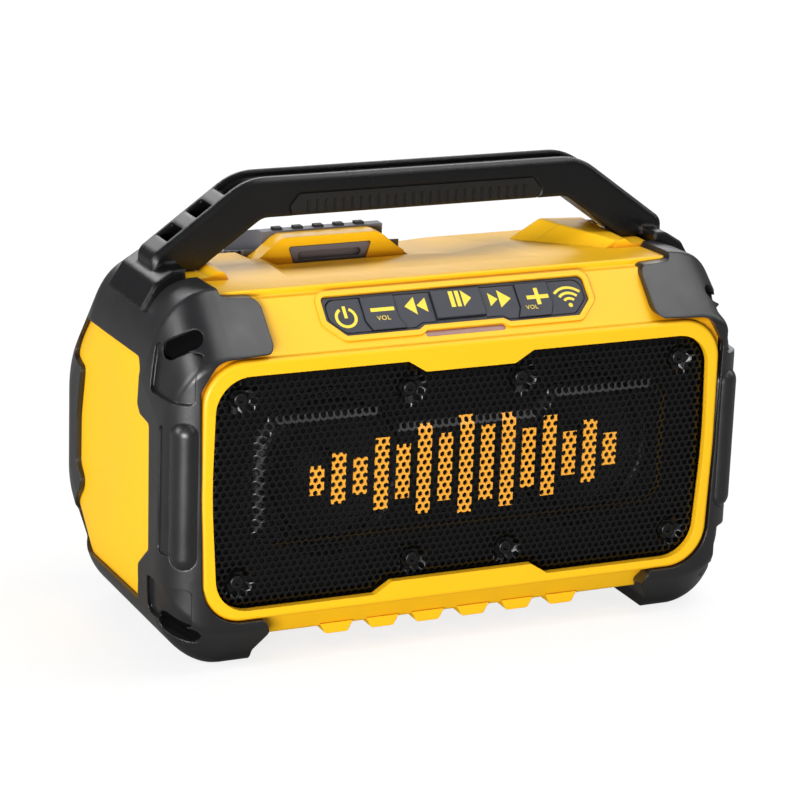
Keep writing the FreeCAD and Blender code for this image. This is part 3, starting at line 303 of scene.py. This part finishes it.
finishes = {
    "front_housing": amberNylon, "rear_housing": amberNylon, "left_side_panel": amberNylon,
    "right_side_panel": amberNylon, "battery_collar": amberNylon,
    "left_end_cap": capRubber, "right_end_cap": capRubber, "left_front_bumper": capRubber,
    "right_front_bumper": capRubber, "left_rear_bumper": capRubber, "right_rear_bumper": capRubber,
    "port_cover": capRubber, "handle_frame": blackNylon, "handle_grip": gripRubber,
    "handle_screws": blackScrewSteel, "grille_screws": blackScrewSteel, "housing_screws": blackScrewSteel,
    "speaker_baffle": innerNylon, "left_driver_frame": basketSteel, "right_driver_frame": basketSteel,
    "left_driver_magnet": ferrite, "right_driver_magnet": ferrite, "left_driver_surround": surroundRubber,
    "right_driver_surround": surroundRubber, "left_driver_cone": conePaper, "right_driver_cone": conePaper,
    "keypad_base": keypadRubber, "switch_board": boardLacquer, "tact_switches": innerNylon,
    "status_light_window": smokedLens, "aux_jack": innerNylon, "usb_socket": socketSteel,
    "battery_case": greyNylon, "battery_latch": latchNylon, "battery_cells": cellSleeve,
    "terminal_block": innerNylon, "terminal_blades": bladeBrass, "main_board": boardLacquer,
}
keyNames = ["power", "volume_down", "previous", "play", "next", "volume_up", "pairing"]
for keyName in keyNames:
    finishes[keyName + "_button"] = keypadRubber
for nodeName, finish in finishes.items():
    for materialSlot in frame["nodes"][nodeName].material_slots:
        materialSlot.material = finish
print("finishes on", len(finishes), "parts")


# Rubber surrounds of the drivers


# The ring sits between its frame and the cone. Its points are laid out along one line, by their distance from
# the driver's axis, while the copy's placing is baked, and then put back.
def buildSurround(side):
    node = side + "_driver_surround"
    mesh = frame["nodes"][node].data.copy()
    mesh.materials.clear()
    mesh.materials.append(surroundRubber)
    ring = addObject(side + "_rubber_surround", mesh)
    places = [vertex.co.copy() for vertex in mesh.vertices]
    axisX, axisZ = [(min(values) + max(values)) / 2 for values in
                    ([place.x for place in places], [place.z for place in places])]
    for vertex in mesh.vertices:
        vertex.co = (math.hypot(vertex.co.x - axisX, vertex.co.z - axisZ), 0, 0)
    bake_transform(ring)
    for vertex, place in zip(mesh.vertices, places):
        vertex.co = place
    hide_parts(node)


for sideName in ("left", "right"):
    buildSurround(sideName)
print("surrounds made")


# Perforated grille

grilleLook = {
    "pitch": 3.15 * mm,          # between hole centres
    "holeFlats": 2.15 * mm,
    "thickness": 0.8 * mm,
    "sheetFront": -64.1 * mm,    # front of the flat rim
    "relief": 2.2 * mm,          # raised middle panel, and the depth of the screw dimples
    "bevel": 3.6 * mm,           # how far the raised panel's edge slopes
    "curl": 1.4 * mm,            # how far the rim bends back, over the next distance
    "curlReach": 4.5 * mm,
    "dimpleRadius": 6.5 * mm,
    "dimpleFloor": 4.4 * mm,
    "dimpleRim": 0.5 * mm,       # flat ring round each dimple
    "screwHole": 1.6 * mm,
    "edge": 2.7 * mm,            # what the bezel covers all round
    "halfWidth": 113 * mm, "low": 25 * mm, "high": 124.8 * mm, "corner": 15 * mm,  # of the bezel's opening
    "notchDepth": 5 * mm,        # notches at the middle of the foot and the top: narrow and wide half widths
    "lowNotch": (32.3 * mm, 40 * mm), "highNotch": (20.3 * mm, 28.4 * mm),
    "samePoint": 0.02 * mm,      # points closer than this are one
}
relief = [(87, 50), (94, 57), (94, 99), (87, 106), (39, 106), (31, 98)]
reliefOutline = [(x * mm, z * mm) for x, z in relief] + [(-x * mm, z * mm) for x, z in reversed(relief)]
screwPlaces = [(x * side * mm, z * mm) for x, z in ((100, 114), (25.5, 112), (100, 36.3), (21.7, 37.3))
               for side in (-1, 1)]


def isInside(point, outline):
    hits = 0
    for (x0, z0), (x1, z1) in zip(outline, outline[1:] + outline[:1]):
        if (z0 > point[1]) != (z1 > point[1]):
            hits += point[0] < x0 + (point[1] - z0) * (x1 - x0) / (z1 - z0)
    return hits % 2 == 1


def distanceToLine(point, outline):
    best = 1.0
    for (x0, z0), (x1, z1) in zip(outline, outline[1:] + outline[:1]):
        reach = (point[0] - x0) * (x1 - x0) + (point[1] - z0) * (z1 - z0)
        along = min(1, max(0, reach / ((x1 - x0) ** 2 + (z1 - z0) ** 2)))
        best = min(best, math.dist(point, (x0 + along * (x1 - x0), z0 + along * (z1 - z0))))
    return best


# The sheet's outline: rounded corners, with the notches at the middle of its top and foot left square
def sheetOutline(grow):
    look = grilleLook
    halfWidth, low, high = look["halfWidth"] + grow, look["low"] - grow, look["high"] + grow
    radius, steps = look["corner"] + grow, 8
    right = [(look["lowNotch"][0], low + look["notchDepth"]), (look["lowNotch"][1], low)]
    for centreZ, first in ((low + radius, -90), (high - radius, 0)):
        for step in range(steps + 1):
            angle = math.radians(first + step * 90 / steps)
            right.append((halfWidth - radius + radius * math.cos(angle), centreZ + radius * math.sin(angle)))
    right += [(look["highNotch"][1], high), (look["highNotch"][0], high - look["notchDepth"])]
    return right + [(-x, z) for x, z in reversed(right)]


sheetEdge = sheetOutline(0)


def pressedDepth(x, z):  # how far the press pushed the sheet back, negative where it is raised
    look = grilleLook
    for place in screwPlaces:
        reach = math.dist((x, z), place)
        if reach < look["dimpleRadius"] + look["dimpleRim"]:
            slope = (look["dimpleRadius"] - reach) / (look["dimpleRadius"] - look["dimpleFloor"])
            return look["relief"] * min(1, max(0, slope))
    if isInside((x, z), reliefOutline):
        return -look["relief"] * min(1, distanceToLine((x, z), reliefOutline) / look["bevel"])
    nearRim = distanceToLine((x, z), sheetEdge) if isInside((x, z), sheetEdge) else 0
    return look["curl"] * (1 - min(1, nearRim / look["curlReach"])) ** 2


# One six-sided cell of sheet round each hole. The floor of a dimple has no holes, apart from its screw's.
def buildGrille(material):
    look = grilleLook
    cornerReach = look["pitch"] / math.sqrt(3)
    holeReach = look["holeFlats"] / math.sqrt(3)
    rowPitch = look["pitch"] * math.sqrt(3) / 2
    spokes = [(math.sin(k * math.pi / 3), math.cos(k * math.pi / 3)) for k in range(6)]
    vertices, faces, known = [], [], {}

    def sheetPoint(x, z):
        key = (round(x / look["samePoint"]), round(z / look["samePoint"]))
        if key not in known:
            known[key] = len(vertices)
            vertices.append((x, look["sheetFront"] + pressedDepth(x, z), z))
        return known[key]

    rows = int((look["high"] - look["low"] + 2 * look["edge"]) / rowPitch / 2) + 1
    columns = int((look["halfWidth"] + look["edge"]) / look["pitch"]) + 1
    middle = (look["high"] + look["low"]) / 2
    for row in range(-rows, rows + 1):
        for column in range(-columns, columns + 1):
            x, z = (column + (row % 2) / 2) * look["pitch"], middle + row * rowPitch
            margin = distanceToLine((x, z), sheetEdge) * (1 if isInside((x, z), sheetEdge) else -1)
            if margin < -look["edge"] + cornerReach:
                continue
            nearScrew = min(math.dist((x, z), place) for place in screwPlaces)
            corners = [sheetPoint(x + u * cornerReach, z + v * cornerReach) for u, v in spokes]
            if nearScrew < look["screwHole"]:
                continue
            if nearScrew < look["dimpleFloor"]:
                faces.append(corners)
                continue
            ring = [sheetPoint(x + u * holeReach, z + v * holeReach) for u, v in spokes]
            for k in range(6):
                faces.append((corners[k], corners[(k + 1) % 6], ring[(k + 1) % 6], ring[k]))
    grille = addPiece("perforated_grille", vertices, faces, material, bodyOf("speaker_grille"))
    sheet = grille.modifiers.new("sheet", "SOLIDIFY")
    sheet.thickness = look["thickness"]
    sheet.offset = -1 if grille.data.polygons[0].normal.y < 0 else 1
    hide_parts("speaker_grille")
    return grille


printLook = {
    "halfWidth": 72 * mm, "middle": 77.5 * mm, "tallest": 21 * mm, "barShare": 0.66,
    "levels": [0.30, 0.52, 0.38, 0.74, 0.56, 0.92, 0.70, 1.0, 0.78, 0.96, 0.62, 0.84, 0.46, 0.66, 0.34],
}


# Powder-coated steel sheet: near-black with a fine gritty skin that glints on the pressed edges. A row of
# sound-level bars is screen printed across the raised panel in amber.
def makeGrillePaint():
    look = printLook
    count = len(look["levels"])
    gritSize, gritDepth = 0.8 * mm, 0.05 * mm
    material = newMaterial("powder_coated_perforated_steel")
    place = addNode(material, "ShaderNodeTexCoord").outputs["Object"]
    grit = addNode(material, "ShaderNodeTexNoise", {
        "Vector": place, "Scale": 1 / gritSize, "Detail": 2}).outputs["Fac"]
    bump = addNode(material, "ShaderNodeBump", {"Height": grit, "Strength": 0.3, "Distance": gritDepth})
    coat = addNode(material, "ShaderNodeMixRGB", {
        "Fac": grit, "Color1": toLinear("#040405"), "Color2": toLinear("#09090A")})
    ink = addNode(material, "ShaderNodeMixRGB", {
        "Fac": grit, "Color1": toLinear("#E79A2B"), "Color2": toLinear("#F5B040")})
    split = addNode(material, "ShaderNodeSeparateXYZ", {"Vector": place})
    sideways, upwards = split.outputs["X"], split.outputs["Z"]

    # Each bar's own height, as a share of the tallest, by its place across the row
    across = addNode(material, "ShaderNodeMapRange", {
        "Value": sideways, "From Min": -look["halfWidth"], "From Max": look["halfWidth"]},
        clamp=False).outputs["Result"]
    levels = addNode(material, "ShaderNodeValToRGB", {"Fac": across})
    stops = levels.color_ramp.elements
    levels.color_ramp.interpolation = "CONSTANT"
    stops.remove(stops[1])
    for k, level in enumerate(look["levels"]):
        stop = stops[0] if k == 0 else stops.new(k / count)
        stop.position = k / count
        stop.color = (level, level, level, 1)

    # A point is printed where it is inside a bar's width, under its height and not past the row's ends
    bars = addNode(material, "ShaderNodeMath", {0: across, 1: count}, operation="MULTIPLY").outputs[0]
    within = addNode(material, "ShaderNodeMath", {0: bars}, operation="FRACT").outputs[0]
    offMiddle = addNode(material, "ShaderNodeMath", {0: within, 1: 0.5}, operation="SUBTRACT").outputs[0]
    beside = addNode(material, "ShaderNodeMath", {0: offMiddle}, operation="ABSOLUTE").outputs[0]
    inBar = addNode(material, "ShaderNodeMath", {
        0: beside, 1: look["barShare"] / 2}, operation="LESS_THAN").outputs[0]
    height = addNode(material, "ShaderNodeMath", {
        0: upwards, 1: look["middle"]}, operation="SUBTRACT").outputs[0]
    upOrDown = addNode(material, "ShaderNodeMath", {0: height}, operation="ABSOLUTE").outputs[0]
    share = addNode(material, "ShaderNodeMath", {
        0: upOrDown, 1: look["tallest"]}, operation="DIVIDE").outputs[0]
    inHeight = addNode(material, "ShaderNodeMath", {
        0: share, 1: levels.outputs["Color"]}, operation="LESS_THAN").outputs[0]
    leftOrRight = addNode(material, "ShaderNodeMath", {0: sideways}, operation="ABSOLUTE").outputs[0]
    inRow = addNode(material, "ShaderNodeMath", {
        0: leftOrRight, 1: look["halfWidth"]}, operation="LESS_THAN").outputs[0]
    oneBar = addNode(material, "ShaderNodeMath", {0: inBar, 1: inHeight}, operation="MULTIPLY").outputs[0]
    printed = addNode(material, "ShaderNodeMath", {0: oneBar, 1: inRow}, operation="MULTIPLY").outputs[0]
    tint = addNode(material, "ShaderNodeMixRGB", {
        "Fac": printed, "Color1": coat.outputs["Color"], "Color2": ink.outputs["Color"]})
    return finishMaterial(material, {
        "Base Color": tint.outputs["Color"], "Roughness": 0.3, "Specular IOR Level": 0.4,
        "Normal": bump.outputs["Normal"]})


# Closed-cell foam strip that seals the sheet to the baffle: soft black with visible cells
def makeSealFoam():
    cellSize, cellDepth = 0.8 * mm, 0.2 * mm
    material = newMaterial("closed_cell_seal_foam")
    place = addNode(material, "ShaderNodeTexCoord").outputs["Object"]
    cells = addNode(material, "ShaderNodeTexVoronoi", {"Vector": place, "Scale": 1 / cellSize})
    bump = addNode(material, "ShaderNodeBump", {
        "Height": cells.outputs["Distance"], "Strength": 0.6, "Distance": cellDepth})
    return finishMaterial(material, {
        "Base Color": toLinear("#060606"), "Roughness": 0.9, "Specular IOR Level": 0.2,
        "Normal": bump.outputs["Normal"]})


sealLook = {"front": -62.9 * mm, "back": -53.7 * mm, "outside": 1.7 * mm, "inside": 0.5 * mm}


def buildSeal(material):
    look = sealLook
    rings = [(look["outside"], look["front"]), (look["outside"], look["back"]),
             (look["inside"], look["back"]), (look["inside"], look["front"])]
    vertices = [(x, y, z) for grow, y in rings for x, z in sheetOutline(grow)]
    count = len(sheetEdge)
    faces = []
    for ring in range(len(rings)):
        faces += wallFaces(ring * count, (ring + 1) % len(rings) * count, count)
    addPiece("grille_seal", vertices, faces, material, bodyOf("speaker_baffle"))


perforatedGrille = buildGrille(makeGrillePaint())
buildSeal(makeSealFoam())
print("grille:", len(perforatedGrille.data.polygons), "faces")


# Dark plugs in the moulded slots of the end caps: painted shade where the slots are deep

slotLook = {
    "halfLength": 9.4 * mm, "radius": 4.1 * mm, "recess": 1.3 * mm, "back": 8.8 * mm, "turn": 35,
    "points": 24,      # round the outline of a slot
    "rim": 1.3,        # how far out, in shares of the slot's size, the cap's surface is measured
    "away": 20 * mm,   # how far in front of the cap the measuring starts
    # place of each slot at the right end, then its roll and tilt in degrees
    "places": [((121.8, -53.0, 136.2), 24, -20), ((123.6, -60.0, 17.3), -12, 20)],
}


def slotOutline():  # a slot with half-round ends, anticlockwise from its right end's foot
    look = slotLook
    points = []
    for k in range(look["points"]):
        angle = math.radians(-90 + (k + 0.5) * 360 / look["points"])
        middle = (look["halfLength"] - look["radius"]) * (1 if k < look["points"] / 2 else -1)
        points.append((middle + look["radius"] * math.cos(angle), look["radius"] * math.sin(angle)))
    return points


def capSurface():
    cap = frame["nodes"]["right_end_cap"].data
    return BVHTree.FromPolygons([vertex.co for vertex in cap.vertices],
                                [face.vertices for face in cap.polygons])


# Each plug is painted shade for the slot's depth, its front following the cap's surface a little inside the
# mouth of the slot
def buildSlotShadePlugs(material):
    look = slotLook
    outline = slotOutline()
    count = len(outline)
    surface = capSurface()
    vertices, faces = [], []
    for place, roll, tilt in look["places"]:
        first = len(vertices)
        turn = (Matrix.Translation(Vector(place) * mm) @ Matrix.Rotation(math.radians(look["turn"]), 4, "Z")
                @ Matrix.Rotation(math.radians(tilt), 4, "X") @ Matrix.Rotation(math.radians(roll), 4, "Y"))
        inward = turn.to_3x3() @ Vector((0, 1, 0))
        depths = []
        for x, z in outline:
            start = turn @ Vector((x * look["rim"], -look["away"], z * look["rim"]))
            depths.append(surface.ray_cast(start, inward)[3] - look["away"] + look["recess"])
        vertices += [turn @ Vector((x, depth, z)) for (x, z), depth in zip(outline, depths)]
        vertices += [turn @ Vector((x, look["back"], z)) for x, z in outline]
        faces += [(first + k, first + k + 1, first + count - 2 - k, first + count - 1 - k)
                  for k in range(count // 2 - 1)]
        faces.append([first + 2 * count - 1 - k for k in range(count)])
        faces += wallFaces(first + count, first, count)
    addPiece("right_slot_shade_plugs", vertices, faces, material, bodyOf("right_end_cap"))
    mirrored = [Vector((-x, y, z)) for x, y, z in vertices]
    addPiece("left_slot_shade_plugs", mirrored, [list(reversed(face)) for face in faces], material,
             bodyOf("left_end_cap"))


buildSlotShadePlugs(slotShadeFill)


# Raised dark pads at the front of the battery's top vents, painted shade that stands in for the vent
# openings, in mm

ventShadeLook = {
    "count": 5, "first": -52, "pitch": 9.5, "width": 4, "front": 21.8, "back": 26,
    "foot": 159.2, "top": 160.5, "slope": 1,
}


def buildVentShadePads():
    look = ventShadeLook
    vertices, faces = [], []
    for k in range(look["count"]):
        left, first = look["first"] + k * look["pitch"], len(vertices)
        for z, inset in ((look["foot"], 0), (look["top"], look["slope"])):
            vertices += [(x * mm, y * mm, z * mm) for x, y in (
                (left, look["front"] + inset), (left + look["width"], look["front"] + inset),
                (left + look["width"], look["back"]), (left, look["back"]))]
        faces.append([first + 4 + corner for corner in range(4)])
        faces += wallFaces(first, first + 4, 4)
    addPiece("battery_vent_shade_pads", vertices, faces, innerNylon, bodyOf("battery_case"))


buildVentShadePads()
print("linings and lips in place")


# Printed marks on the keys

# Places on the 45 degree control slope, in mm: x across, and distance up the slope from the keypad's foot
keypadFoot = Vector((0, -59.55, 135.25)) * mm
slopeUp = Vector((0, 1, 1)).normalized()
slopeOut = Vector((0, -1, 1)).normalized()
markLook = {"thickness": 0.05 * mm, "shadedColour": 0.005 * mm, "bandSteps": 20, "discSteps": 16}


def slopePoint(x, up, out):
    return keypadFoot + Vector((x * mm, 0, 0)) + slopeUp * up * mm + slopeOut * out


def bandParts(x, up, inner, outer, start, stop):  # part of a ring, as short four-sided parts
    steps = markLook["bandSteps"]
    parts = []
    for k in range(steps):
        a, b = [math.radians(start + (stop - start) * (k + end) / steps) for end in (0, 1)]
        parts.append([(x + r * math.cos(t), up + r * math.sin(t)) for r, t in
                      ((inner, a), (outer, a), (outer, b), (inner, b))])
    return parts


def discPart(x, up, radius):
    steps = markLook["discSteps"]
    return [(x + radius * math.cos(2 * math.pi * k / steps), up + radius * math.sin(2 * math.pi * k / steps))
            for k in range(steps)]


def barPart(x0, x1, up0, up1):
    return [(x0, up0), (x1, up0), (x1, up1), (x0, up1)]


keyMarks = {
    "power": bandParts(-50.6, 8.9, 3.6, 4.9, 118, 422) + [barPart(-51.3, -49.9, 8.6, 14.2)],
    "volume_down": [barPart(-39.5, -28.9, 10.1, 11.8)],
    "previous": [[(-23.8, 11.7), (-18.9, 7.5), (-18.9, 15.8)], [(-18.3, 11.7), (-13.9, 8.3), (-13.9, 15.1)]],
    "play": [barPart(-3.4, -1.5, 8.9, 16.3), barPart(-0.6, 1.2, 8.9, 16.3),
             [(2.2, 8.7), (6.3, 12.5), (2.2, 16.4)]],
    "next": [[(14.7, 8.3), (18.6, 11.4), (14.7, 14.6)], [(19.2, 7.3), (24.7, 11.2), (19.2, 15.6)]],
    "volume_up": [barPart(31.6, 35.7, 9.6, 11.4), barPart(35.7, 37.5, 6.9, 14.7),
                  barPart(37.5, 41.7, 9.6, 11.4)],
    "pairing": [discPart(51.0, 5.6, 1.0)] + bandParts(51.0, 5.6, 2.6, 3.8, 45, 135)
               + bandParts(51.0, 5.6, 5.2, 6.4, 45, 135) + bandParts(51.0, 5.6, 7.8, 9.0, 45, 135),
}
keyWords = {  # plain printed lettering: word, place across and up the slope, height of the capitals, in mm
    "volume_down": ("VOL", -34.6, 6.0, 2.2),
    "volume_up": ("VOL", 32.7, 5.0, 2.0),
}
wordLook = {"sizeToCapital": 1.38, "spacing": 1.08}


def keyFace(node):  # height of a key's printed face over the slope's origin
    return max((vertex.co - keypadFoot).dot(slopeOut) for vertex in frame["nodes"][node].data.vertices)


def buildMark(keyName):
    node = keyName + "_button"
    low = keyFace(node) - markLook["shadedColour"]
    vertices, faces = [], []
    for part in keyMarks[keyName]:
        first, count = len(vertices), len(part)
        for level in (low, low + markLook["thickness"]):
            vertices += [slopePoint(x, up, level) for x, up in part]
        faces.append([first + count + k for k in range(count)])
        faces += wallFaces(first, first + count, count)
    addPiece(keyName + "_mark", vertices, faces, printedInk, bodyOf(node))


def buildWord(keyName):
    node = keyName + "_button"
    word, x, up, height = keyWords[keyName]
    text = bpy.data.curves.new(keyName + "_word", "FONT")
    text.body = word
    text.size = height * mm * wordLook["sizeToCapital"]
    text.align_x = "CENTER"
    text.extrude = markLook["thickness"] / 2
    text.resolution_u = 3
    text.space_character = wordLook["spacing"]
    text.materials.append(printedInk)
    piece = addObject(keyName + "_word", text)
    spot = slopePoint(x, up, keyFace(node))
    piece.matrix_world = Matrix.Translation(spot) @ Matrix.Rotation(math.radians(45), 4, "X")
    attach(piece, bodyOf(node))


for keyName in keyNames:
    buildMark(keyName)
for keyName in keyWords:
    buildWord(keyName)
print("marks on", len(keyMarks), "keys")


# Floor, light and camera

floorHalf = 6  # metres


# Pale studio floor. The camera sees it lifted to white, and what is left of its own shading keeps the shadow.
def makeFloor():
    material = newMaterial("pale_studio_floor")
    path = addNode(material, "ShaderNodeLightPath")
    plain = addNode(material, "ShaderNodeBsdfDiffuse", {"Color": toLinear("#9C9C9A")})
    shade = addNode(material, "ShaderNodeBsdfDiffuse", {"Color": toLinear("#8C8C8C")})
    lift = addNode(material, "ShaderNodeEmission", {"Color": toLinear("#FFFFFF"), "Strength": 0.8})
    lifted = addNode(material, "ShaderNodeAddShader", {0: shade.outputs[0], 1: lift.outputs[0]})
    mix = addNode(material, "ShaderNodeMixShader", {
        0: path.outputs["Is Camera Ray"], 1: plain.outputs[0], 2: lifted.outputs[0]})
    addNode(material, "ShaderNodeOutputMaterial", {"Surface": mix.outputs[0]})
    mesh = bpy.data.meshes.new("studio_floor")
    corners = [(x * floorHalf, y * floorHalf, 0) for x, y in ((-1, -1), (1, -1), (1, 1), (-1, 1))]
    mesh.from_pydata(corners, [], [(0, 1, 2, 3)])
    mesh.materials.append(material)
    floor = addObject("studio_floor", mesh)


# The camera sees white behind the floor, and everything else a dim, even room
def makeWorld():
    world = bpy.data.worlds.new("studio_world")
    world.use_nodes = True
    world.node_tree.nodes.clear()
    path = addNode(world, "ShaderNodeLightPath")
    room = addNode(world, "ShaderNodeBackground", {"Color": toLinear("#F4F6FA"), "Strength": 0.16})
    backdrop = addNode(world, "ShaderNodeBackground", {"Color": toLinear("#FFFFFF"), "Strength": 1.0})
    mix = addNode(world, "ShaderNodeMixShader", {
        0: path.outputs["Is Camera Ray"], 1: room.outputs[0], 2: backdrop.outputs[0]})
    addNode(world, "ShaderNodeOutputWorld", {"Surface": mix.outputs[0]})
    bpy.context.scene.world = world


lamps = {  # place in metres, width and height of the panel, watts
    "top_softbox": ((0.5, -0.1, 1.3), 0.8, 0.8, 7),
    "left_softbox": ((-1.7, 0.1, 0.8), 0.8, 0.8, 14),
    "front_softbox": ((-1.2, -1.5, 0.12), 1.0, 0.4, 52),
    "key_softbox": ((-0.6, -1.1, 1.3), 0.4, 0.4, 0.5),
    "glint_lamp": ((0.7, -1.25, 1.15), 0.3, 0.3, 2),
    "right_softbox": ((1.3, -0.2, 0.9), 0.3, 0.8, 3),
    "back_softbox": ((0.6, 1.7, 0.9), 2.2, 0.7, 15),
}
lampAim = Vector((0, 0, 0.08))


def makeLamps():
    for name, (place, width, height, watts) in lamps.items():
        lamp = bpy.data.lights.new(name, "AREA")
        lamp.shape = "RECTANGLE"
        lamp.size, lamp.size_y, lamp.energy = width, height, watts
        holder = addObject(name, lamp)
        holder.location = place
        holder.rotation_euler = (lampAim - Vector(place)).to_track_quat("-Z", "Y").to_euler()


# The photograph's view: from the front left and a little above, the camera tipped about two degrees
cameraLook = {
    "place": (-0.55753, -1.19223, 0.49238), "lens": 143.466,
    "right": (0.909969, -0.413153, 0.035505), "up": (0.091221, 0.282964, 0.954783),
}


def makeCamera():
    lens = bpy.data.cameras.new("photo_camera")
    lens.lens = cameraLook["lens"]
    camera = addObject("photo_camera", lens)
    right, up = Vector(cameraLook["right"]), Vector(cameraLook["up"])
    axes = Matrix((right, up, right.cross(up))).transposed()
    camera.matrix_world = Matrix.Translation(cameraLook["place"]) @ axes.to_4x4()
    bpy.context.scene.camera = camera


makeFloor()
makeWorld()
makeLamps()
makeCamera()
bpy.context.scene.view_settings.view_transform = "Standard"
print("stage set")
